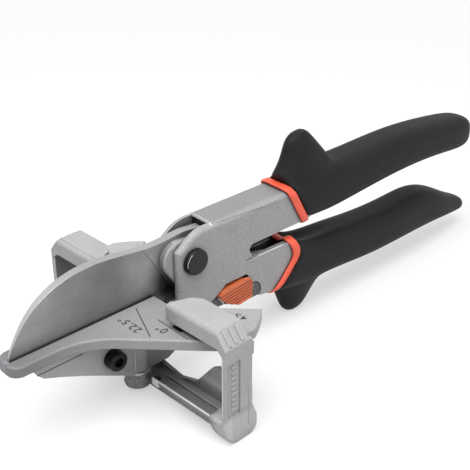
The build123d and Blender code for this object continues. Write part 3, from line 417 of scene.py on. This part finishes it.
def round_edges(piece, radius):
    """Round a piece's sharp edges by modifiers."""
    weld = piece.modifiers.new("weld", "WELD")
    weld.merge_threshold = weld_gap * MM
    bevel = piece.modifiers.new("round", "BEVEL")
    bevel.width = radius * MM
    bevel.segments = 3
    bevel.limit_method = "ANGLE"
    bevel.angle_limit = math.radians(least_turn)
    bevel.use_clamp_overlap = True
    bevel.harden_normals = False
    smooth = piece.modifiers.new("normals", "WEIGHTED_NORMAL")
    smooth.keep_sharp = True


for round_name, round_radius in edge_radii.items():
    round_edges(nodes[round_name], round_radius)


# Makers of pieces

fence_angle = 2.4
fence_turn = Matrix.Rotation(math.radians(fence_angle), 4, "Z")


def new_piece(name, data):
    """Object that shows some data, in the scene."""
    piece = bpy.data.objects.new(name, data)
    bpy.context.scene.collection.objects.link(piece)
    return piece


def mesh_piece(name, mesh):
    """Piece of a finished bmesh, which is freed."""
    data = bpy.data.meshes.new(name)
    mesh.to_mesh(data)
    mesh.free()
    return new_piece(name, data)


def outline_piece(name, curve):
    """Piece with the mesh that a curve or a text makes."""
    outline = new_piece(name + "_outline", curve)
    bpy.context.view_layer.update()
    data = bpy.data.meshes.new_from_object(outline)
    bpy.data.objects.remove(outline)
    return new_piece(name, data)


def smooth_faces(piece):
    """Shade a piece's faces smoothly."""
    for face in piece.data.polygons:
        face.use_smooth = True


def place_piece(piece, material, body):
    """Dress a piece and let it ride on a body.

    What rides on the fence is drawn square to the blade, and turned here to the fence's angle at rest.
    """
    if body == "fence":
        piece.data.transform(fence_turn)
    dress(piece, material)
    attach(piece, body)


def box_piece(name, x_range, y_range, z_range, radius=0):
    """Box between ranges in millimetres, with its edges rounded by a radius."""
    ranges = (x_range, y_range, z_range)
    mesh = bmesh.new()
    bmesh.ops.create_cube(mesh, size=1)
    bmesh.ops.scale(mesh, vec=[(high - low) * MM for low, high in ranges], verts=mesh.verts)
    bmesh.ops.translate(mesh, vec=[(low + high) / 2 * MM for low, high in ranges], verts=mesh.verts)
    if radius:
        bmesh.ops.bevel(mesh, geom=list(mesh.edges), offset=radius * MM, segments=3, profile=0.5,
                        affect="EDGES")
    return mesh_piece(name, mesh)


def bead(name, points, radius):
    """Round bead along a line of points, all in millimetres."""
    curve = bpy.data.curves.new(name, "CURVE")
    curve.dimensions = "3D"
    curve.bevel_depth = radius * MM
    curve.bevel_resolution = 3
    curve.use_fill_caps = True
    line = curve.splines.new("POLY")
    line.points.add(len(points) - 1)
    for target, place in zip(line.points, points):
        target.co = (*[part * MM for part in place], 1)
    piece = outline_piece(name, curve)
    smooth_faces(piece)
    return piece


def mirrored(y_range, side):
    """Range of y on the near side (-1), or its mirror on the far side (1)."""
    low, high = y_range
    return (low, high) if side < 0 else (-high, -low)


# Grips and bands: the dipped skins, with the horn flowing into the bar, and soft rings. A grip keeps its
# shape over the clear length behind its band, and the smoothing sets in over the run after it.

grip_voxel = 0.9
grip_rounds = 14
grip_share = 0.8
grip_clear = 1.5
grip_run = 5
band_voxel = 0.45
band_rounds = 10
band_share = 0.6


def remeshed_copy(source, name, voxel):
    """Copy of a node's mesh as evenly sized faces."""
    piece = new_piece(name, source.data.copy())
    remesh = piece.modifiers.new("remesh", "REMESH")
    remesh.mode = "VOXEL"
    remesh.voxel_size = voxel * MM
    bpy.context.view_layer.update()
    graph = bpy.context.evaluated_depsgraph_get()
    made = bpy.data.meshes.new_from_object(piece.evaluated_get(graph))
    piece.modifiers.clear()
    piece.data = made
    return piece


def relax(piece, weights, rounds):
    """Smooth a mesh by moving each point towards its neighbours, as far as its weight says."""
    mesh = bmesh.new()
    mesh.from_mesh(piece.data)
    mesh.verts.ensure_lookup_table()
    for _ in range(rounds):
        moved = []
        for vert in mesh.verts:
            around = [edge.other_vert(vert).co for edge in vert.link_edges]
            middle = sum(around, Vector()) / len(around)
            moved.append(vert.co.lerp(middle, weights[vert.index]))
        for vert, place in zip(mesh.verts, moved):
            vert.co = place
    mesh.to_mesh(piece.data)
    mesh.free()


def build_grip(node_name, band_name, body, name):
    """Smooth dipped skin in place of a grip's solid, kept sharp where it meets its band."""
    piece = remeshed_copy(nodes[node_name], name, grip_voxel)
    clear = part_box(band_name)[1].x + grip_clear * MM
    weights = [min(1, max(0, (vert.co.x - clear) / (grip_run * MM))) * grip_share
               for vert in piece.data.vertices]
    relax(piece, weights, grip_rounds)
    low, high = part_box(node_name)
    for vert in piece.data.vertices:
        vert.co = [min(max(place, least), most) for place, least, most in zip(vert.co, low, high)]
    smooth_faces(piece)
    place_piece(piece, grip_skin, body)
    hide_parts(node_name)
    return piece


def build_band(node_name, body, name):
    """Soft rounded ring in place of a coloured band."""
    piece = remeshed_copy(nodes[node_name], name, band_voxel)
    relax(piece, [band_share] * len(piece.data.vertices), band_rounds)
    smooth_faces(piece)
    place_piece(piece, band_skin, body)
    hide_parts(node_name)
    return piece


# The valley pressed into the top of the lower grip and its band. What lies below the floors stays.

valley_depth = 2.8
valley_half_width = 5.4
valley_run = 42
grip_valley_floor = 27
band_valley_floor = 39.4


def sink_top(piece, floor):
    """Sink the middle of a piece's top above a floor into a valley that fades out behind the band."""
    for vert in piece.data.vertices:
        x, y, z = vert.co / MM
        if z > floor and vert.normal.z > 0 and abs(y) < valley_half_width:
            fade = min(1, max(0, 1 - (x - band_end) / valley_run))
            vert.co.z = (z - valley_depth * fade * fade * (1 - (y / valley_half_width) ** 2) ** 2) * MM


build_grip("upper_grip", "upper_grip_band", "root", "upper_grip_skin")
lower_skin = build_grip("lower_grip", "lower_grip_band", "lower_assembly", "lower_grip_skin")
build_band("upper_grip_band", "root", "upper_band_skin")
lower_band = build_band("lower_grip_band", "lower_assembly", "lower_band_skin")
sink_top(lower_skin, grip_valley_floor)
sink_top(lower_band, band_valley_floor)


# Marks on the table: painted grooves and plain angle figures. A line's reach is from the upright axis.

digit_size = 4.9
digit_rise = 3.5
digit_depth = 0.12
digit_swell = 0.05
digit_proud = 0.02
line_width = 0.4
line_paint_share = 0.96
line_floor = 0.3
line_lift = 0.01
line_paint_depth = 0.2
mark_angle = 22.5
square_line = (15, 33)
mark_line = (3.6, 24)
mark_figure_place = (-10.1, -10.9)
square_figure_place = (-3.2, -21.4)
wing_figures = (("figure_45_near", (23.8, -33.6), 101), ("figure_45_far", (20.3, 30.1), 79))


def groove_paint_line(name, reach, angle):
    """Dark paint that lies in one groove of the table."""
    half = line_width / 2 * line_paint_share
    fill_low = table_top - line_floor + line_lift
    piece = box_piece(name, reach, (-half, half), (fill_low, fill_low + line_paint_depth))
    piece.data.transform(Matrix.Rotation(math.radians(angle), 4, "Z"))
    place_piece(piece, groove_paint_and_shade, "root")


def figures(name, words, middle, turn, height=1, spacing=1.15):
    """Thin painted figures lying in the table's top, placed by their middle and turned about it."""
    curve = bpy.data.curves.new(name, "FONT")
    curve.body = words
    curve.size = digit_size * MM
    curve.align_x = "CENTER"
    curve.extrude = digit_depth / 2 * MM
    curve.offset = digit_swell * MM
    curve.space_character = spacing
    curve.resolution_u = 4
    piece = outline_piece(name, curve)
    spot = Vector((*middle, table_top - digit_depth / 2 + digit_proud)) * MM
    centred = Matrix.Translation((0, -digit_rise / 2 * MM, 0))
    piece.data.transform(Matrix.Translation(spot) @ Matrix.Rotation(math.radians(turn), 4, "Z")
                         @ Matrix.Diagonal((1, height, 1, 1)) @ centred)
    place_piece(piece, groove_paint_and_shade, "root")


for side, side_name in near_and_far:
    groove_paint_line("square_line_" + side_name, square_line, side * 90)
    groove_paint_line("angle_line_" + side_name, mark_line, side * (90 + mark_angle))
    for figure_name, words, (place_x, place_y) in (("figure_22_", "22.5°", mark_figure_place),
                                                   ("figure_0_", "0°", square_figure_place)):
        figures(figure_name + side_name, words, (place_x, place_y * -side), 90)
for figure_name, figure_place, figure_turn in wing_figures:
    figures(figure_name, "45°", figure_place, figure_turn, height=0.8, spacing=1.25)


# Boxes. The table's rows are drawn on the near side and made on both sides: name, ranges of x, y and z,
# edge radius, material, body and slot. The arm's shade plate is a thin black sheet of painted shade on the
# table under each arm, and the arm's pad is a black pad whose face also stands as painted shade for the gap
# under the arm. The rail's block and the carrier's rib are lighter than what is round them: painted
# highlights.

upright_face = -51.7
seam_y = (-7.43, -6.9)
side_boxes = (
    ("arm_pad", (1.3, 5.5), (-42.5, -21.6), (table_top + 0.25, table_top + 2.85), 0.2,
     strip_plastic, "fence", "strip_black"),
    ("arm_shade_plate", (-0.5, 5.5), (-27.6, -23), (table_top + 0.08, table_top + 0.4), 0.1,
     strip_plastic, "fence", "strip_black"),
    ("shoulder_lug", (10.5, 13.9), (upright_face, -50.25), (36.6, 42.6), 0.6,
     fence_metal, "fence", "casting_grey"),
    ("rail_block", (-2.1, 0.9), (-15.2, -11.4), (9.3, 12.5), 0.4, highlight_metal, "fence", "casting_grey"),
    ("carrier_rib", (-4.2, -3.5), (-4.35, -3.8), (13, 35), 0.2, cast_metal, "root", "casting_grey"),
    ("seam_step", (50.6, 56.1), seam_y, (42.5, 43.06), 0, seam_paint, "lower_assembly", "handle_grey"))

for side, side_name in near_and_far:
    for box_name, x_range, y_range, z_range, radius, material, body, slot in side_boxes:
        side_box = box_piece(box_name + "_" + side_name, x_range, mirrored(y_range, side), z_range, radius)
        place_piece(side_box, material, body)

# Dark plate behind the table's heel: painted shade in the hollow there.
heel_shade_plate = box_piece("heel_shade_plate", (9.4, 13.1), (-3.6, 3.9), (38.3, 38.9))
place_piece(heel_shade_plate, groove_paint_and_shade, "root")


# Bars over the shoulders and ribs on the uprights of the fence

bar_count = 3
bar_first = 1.9
bar_pitch = 3.1
bar_half_width = 0.8
bar_half_length = 3.3
bar_half_thick = 0.5
bar_radius = 0.3
shoulder_y = -49.4
shoulder_z = 47.85
shoulder_drop = 6.5
shoulder_run = 5
shoulder_slope = math.atan2(shoulder_drop, shoulder_run)
rib_count = 9
rib_first = 16
rib_pitch = 2.35
rib_height = 1.5
rib_start = 2.0
rib_end = 4.4
rib_extra = 0.7
rib_inside = -51.0
rib_radius = 0.34


def shoulder_bar(index, side, side_name):
    """Raised bar that lies on the slope of a shoulder."""
    middle = bar_first + bar_pitch * index
    bar = box_piece("shoulder_bar_%d_%s" % (index, side_name),
                    (middle - bar_half_width, middle + bar_half_width),
                    (-bar_half_length, bar_half_length), (-bar_half_thick, bar_half_thick), bar_radius)
    bar.data.transform(Matrix.Translation(Vector((0, shoulder_y * -side, shoulder_z)) * MM)
                       @ Matrix.Rotation(shoulder_slope * -side, 4, "X"))
    place_piece(bar, fence_metal, "fence")


def upright_rib(index, side, side_name):
    """Plain rib across the outer face of an upright. Every second one is a little longer."""
    low = rib_first + rib_pitch * index
    rib = box_piece("upright_rib_%d_%s" % (index, side_name), (rib_start, rib_end + rib_extra * (index % 2)),
                    mirrored((upright_face, rib_inside), side), (low, low + rib_height), rib_radius)
    place_piece(rib, fence_metal, "fence")


for side, side_name in near_and_far:
    for index in range(bar_count):
        shoulder_bar(index, side, side_name)
    for index in range(rib_count):
        upright_rib(index, side, side_name)


# Low lumps left by the mould around the fence's hub

lump_seed = 7
lump_count = 44
lump_ring = 5.25
lump_heights = (4.6, 9.3)
lump_sizes = (0.5, 1.1)
lump_widths = (0.7, 1.6)
lump_depth_share = 0.5
lump_height_share = 0.8


def rough_hub(name):
    """Lumps of uneven size, scattered round the hub."""
    draw = random.Random(lump_seed)
    mesh = bmesh.new()
    for _ in range(lump_count):
        angle = draw.uniform(0, 2 * math.pi)
        size = draw.uniform(*lump_sizes)
        spot = (lump_ring * math.cos(angle), lump_ring * math.sin(angle), draw.uniform(*lump_heights))
        shape = Matrix.Diagonal((lump_depth_share, draw.uniform(*lump_widths), lump_height_share, 1))
        bmesh.ops.create_icosphere(mesh, subdivisions=2, radius=size * MM, matrix=(
            Matrix.Translation(Vector(spot) * MM) @ Matrix.Rotation(angle, 4, "Z") @ shape))
    piece = mesh_piece(name, mesh)
    smooth_faces(piece)
    return piece


place_piece(rough_hub("hub_relief"), fence_metal, "fence")


# Strip that closes the seam between the handles, on an arc about their pivot

seam_radii = (27.56, 28.03)
seam_start = -39.2
seam_end = -22.1
seam_steps = 24


def about_pivot(radius, degrees, y):
    """Point in millimetres at a radius and an angle about the handles' pivot."""
    angle = math.radians(degrees)
    return pivot.x + radius * math.cos(angle), y, pivot.z + radius * math.sin(angle)


def seam_fill(name, side):
    """Curved strip with a four-sided section."""
    inner, outer = seam_radii
    low, high = mirrored(seam_y, side)
    section = ((inner, low), (outer, low), (outer, high), (inner, high))
    mesh = bmesh.new()
    rings = []
    for step in range(seam_steps + 1):
        degrees = seam_start + (seam_end - seam_start) * step / seam_steps
        rings.append([mesh.verts.new(Vector(about_pivot(radius, degrees, y)) * MM) for radius, y in section])
    for first, second in zip(rings, rings[1:]):
        for index in range(len(section)):
            after = (index + 1) % len(section)
            mesh.faces.new((first[index], first[after], second[after], second[index]))
    mesh.faces.new(rings[0])
    mesh.faces.new(rings[-1])
    bmesh.ops.recalc_face_normals(mesh, faces=mesh.faces)
    return mesh_piece(name, mesh)


for side, side_name in near_and_far:
    place_piece(seam_fill("seam_fill_" + side_name, side), seam_paint, "lower_assembly")


# Beads along edges, creases and rims, most of them painted highlights and painted shade

def in_plane(y, places):
    """Points at one y, from pairs of x and z."""
    return [(x, y, z) for x, z in places]


def both_ways(points, middle):
    """Points from the far side over a middle point to the near side, from the near side's points."""
    return [*[(x, -y, z) for x, y, z in points], middle, *reversed(points)]


glint_radius = 5.2
glint_proud = 0.1
glint_angles = range(122, 187, 8)
bolt_arc = [about_pivot(glint_radius, degrees, bolt_face + glint_proud) for degrees in glint_angles]
fold_edge = [(35.1, -6.9, 64.2), (35.0, -6.3, 65.0), (34.9, -5.3, 65.5)]
fold_middle = (34.9, 0, 65.6)

# Name, points, radius, material, body and slot. The first table's rows are drawn on the near side and made
# on both sides. Light beads are painted highlights: the rail's lip, the upright's rim, the fold's glint, the
# slots' rims, the latch's end and the bolt's glint. Dark beads are painted shade: the carrier's step, the
# panel's shadow line, the far arm's line, the handle's crease and the gap round the latch's hub. The fold
# bead is a real rolled edge in a little lighter paint, a painted highlight.
side_beads = (
    ("rail_lip_bead", [(-1.75, -11.6, 12.25), (-1.75, -44, 12.25)], 0.4, highlight_metal, "fence", "casting_grey"),
    ("carrier_step_shade", in_plane(-4.02, ((-47, 32.5), (-27, 32.5))), 0.15, groove_paint_and_shade, "root", "bolt_black"),
    ("panel_shadow_line", in_plane(-51.79, ((0, 14.5), (0, 38))), 0.15, crease_shade_paint, "fence", "casting_grey"),
    ("upright_rim", in_plane(-50.3, ((-1.05, 14), (-1.05, 41))), 0.32, highlight_metal, "fence", "casting_grey"),
    ("fold_glint", [(34.9, -7.05, 63.8), (34.6, -6.55, 65), (34.45, -5.6, 65.75)], 0.45,
     glint_steel, "root", "handle_grey"))
single_beads = (
    ("arm_line_far", [(0.4, 22.4, 50.98), (0.4, 46.6, 50.98)], 0.13, crease_shade_paint, "fence", "casting_grey"),
    ("handle_crease", [(37.8, -6.68, 65.25), (43.5, -6.8, 65.15), (49.8, -7.1, 64.8), (56.2, -7.3, 64.5),
                       (63.4, -7.48, 63.9), (69.7, -7.48, 63.7)], 0.14, crease_shade_paint, "root", "handle_grey"),
    ("handle_fold_bead", both_ways(fold_edge, fold_middle), 0.8, fold_highlight_paint, "root", "handle_grey"),
    ("slot_near_rim", in_plane(-7.2, ((59.8, 41.75), (67, 41.65), (74.4, 41.5))), 0.32,
     highlight_metal, "lower_assembly", "handle_grey"),
    ("slot_far_rim", in_plane(4.75, ((67.5, 37.8), (73, 37.95), (78.5, 38.2))), 0.34,
     highlight_metal, "lower_assembly", "handle_grey"),
    ("latch_end_rim", in_plane(-6.3, ((38.4, 29.4), (39.9, 27.9), (41, 26.2))), 0.45,
     glint_steel, "latch", "plain_steel"),
    ("latch_hub_gap_shade", in_plane(-7.25, ((55.1, 27.2), (55.4, 28.5), (56.8, 29.5))), 0.4,
     black_steel_and_gap_shade, "latch", "bolt_black"),
    ("latch_hub_rim", in_plane(-7.5, ((55.9, 27.6), (56.3, 28.3), (57.2, 28.9))), 0.22,
     plain_steel, "latch", "plain_steel"),
    ("bolt_glint", bolt_arc, 0.12, highlight_metal, "root", "bolt_black"))

for side, side_name in near_and_far:
    for bead_name, points, radius, material, body, slot in side_beads:
        side_points = [(x, y * -side, z) for x, y, z in points]
        place_piece(bead(bead_name + "_" + side_name, side_points, radius), material, body)
for bead_name, points, radius, material, body, slot in single_beads:
    place_piece(bead(bead_name, points, radius), material, body)


# Camera at the photograph's place

photo_size = 470
focal_pixels = 964
sensor_width = 36
nearest_shown = 10
farthest_shown = 20000
camera_place = Vector((-183.25, -257.19, 244.53)) * MM
look_azimuth = math.radians(42.61)
look_down = math.radians(28.95)
look = Vector((math.sin(look_azimuth) * math.cos(look_down), math.cos(look_azimuth) * math.cos(look_down),
               -math.sin(look_down)))
camera_data = bpy.data.cameras.new("camera")
camera_data.sensor_width = sensor_width
camera_data.lens = focal_pixels / photo_size * sensor_width
camera_data.clip_start = nearest_shown * MM
camera_data.clip_end = farthest_shown * MM
camera = new_piece("camera", camera_data)
camera.location = camera_place
camera.rotation_mode = "QUATERNION"
camera.rotation_quaternion = look.to_track_quat("-Z", "Y")
bpy.context.scene.camera = camera


# Floor, lamps and world

floor_half = 3000
floor_thick = 20
floor_mottle = 50
floor_dark = grey(0.44)
floor_light = grey(0.46)
fade_start = 300
fade_end = 800
glow_at_middle = 0.5
white = (1, 1, 1)
world_light = 0.42
lamp_target = Vector((60, 0, 30)) * MM


def seen_directly(tree):
    """1 for what the camera, a gloss or clear glass sees, and 0 for light on its way."""
    path = node(tree, "ShaderNodeLightPath")
    seen = path.outputs["Is Camera Ray"]
    for name in ("Is Glossy Ray", "Is Transmission Ray"):
        seen = arithmetic(tree, "MAXIMUM", seen, path.outputs[name])
    return seen


def mix_shader(tree, factor, first, second):
    """Two shaders mixed by a factor or a socket."""
    made = node(tree, "ShaderNodeMixShader")
    for socket, value in zip(made.inputs, (factor, first, second)):
        feed(tree, socket, value)
    return made.outputs[0]


def plain_shader(tree, kind, colour, strength=None):
    """Shader of one colour, with a strength where it glows."""
    made = node(tree, kind)
    feed(tree, made.inputs["Color"], colour)
    if strength is not None:
        feed(tree, made.inputs["Strength"], strength)
    return made.outputs[0]


def build_floor():
    """Pale floor that looks white and keeps the object's shadow."""
    floor = box_piece("floor", (-floor_half, floor_half), (-floor_half, floor_half), (-floor_thick, 0))
    material, tree, surface = new_material("floor_pale")
    point = own_point(tree)
    tone = mix_colour(tree, noise(tree, point, floor_mottle * MM, detail=2), floor_dark, floor_light)
    matt = plain_shader(tree, "ShaderNodeBsdfDiffuse", tone)
    lit = plain_shader(tree, "ShaderNodeBsdfDiffuse", white)
    glow = plain_shader(tree, "ShaderNodeEmission", white, 1)
    reach = node(tree, "ShaderNodeVectorMath", operation="LENGTH")
    feed(tree, reach.inputs[0], point)
    glow_share = remap(tree, reach.outputs["Value"], fade_start * MM, fade_end * MM, glow_at_middle, 1)
    shown = mix_shader(tree, glow_share, lit, glow)
    feed(tree, surface, mix_shader(tree, seen_directly(tree), matt, shown))
    dress(floor, material)


def add_lamp(name, place, size, power):
    """Square soft lamp that faces the object."""
    data = bpy.data.lights.new(name, "AREA")
    data.size = size * MM
    data.energy = power
    lamp = new_piece(name, data)
    lamp.location = Vector(place) * MM
    lamp.rotation_mode = "QUATERNION"
    lamp.rotation_quaternion = (lamp_target - lamp.location).to_track_quat("-Z", "Y")


def build_world():
    """World that lights softly and shows white to the camera and in reflections."""
    world = bpy.data.worlds.new("world")
    bpy.context.scene.world = world
    world.use_nodes = True
    tree = world.node_tree
    tree.nodes.clear()
    output = node(tree, "ShaderNodeOutputWorld")
    soft = plain_shader(tree, "ShaderNodeBackground", white, world_light)
    bright = plain_shader(tree, "ShaderNodeBackground", white, 1)
    feed(tree, output.inputs["Surface"], mix_shader(tree, seen_directly(tree), soft, bright))


build_floor()
build_world()
add_lamp("key", place=(-300, -200, 1120), size=900, power=13.4)
add_lamp("front", place=(100, -1000, 500), size=800, power=2.2)

bpy.context.scene.view_settings.view_transform = "Standard"
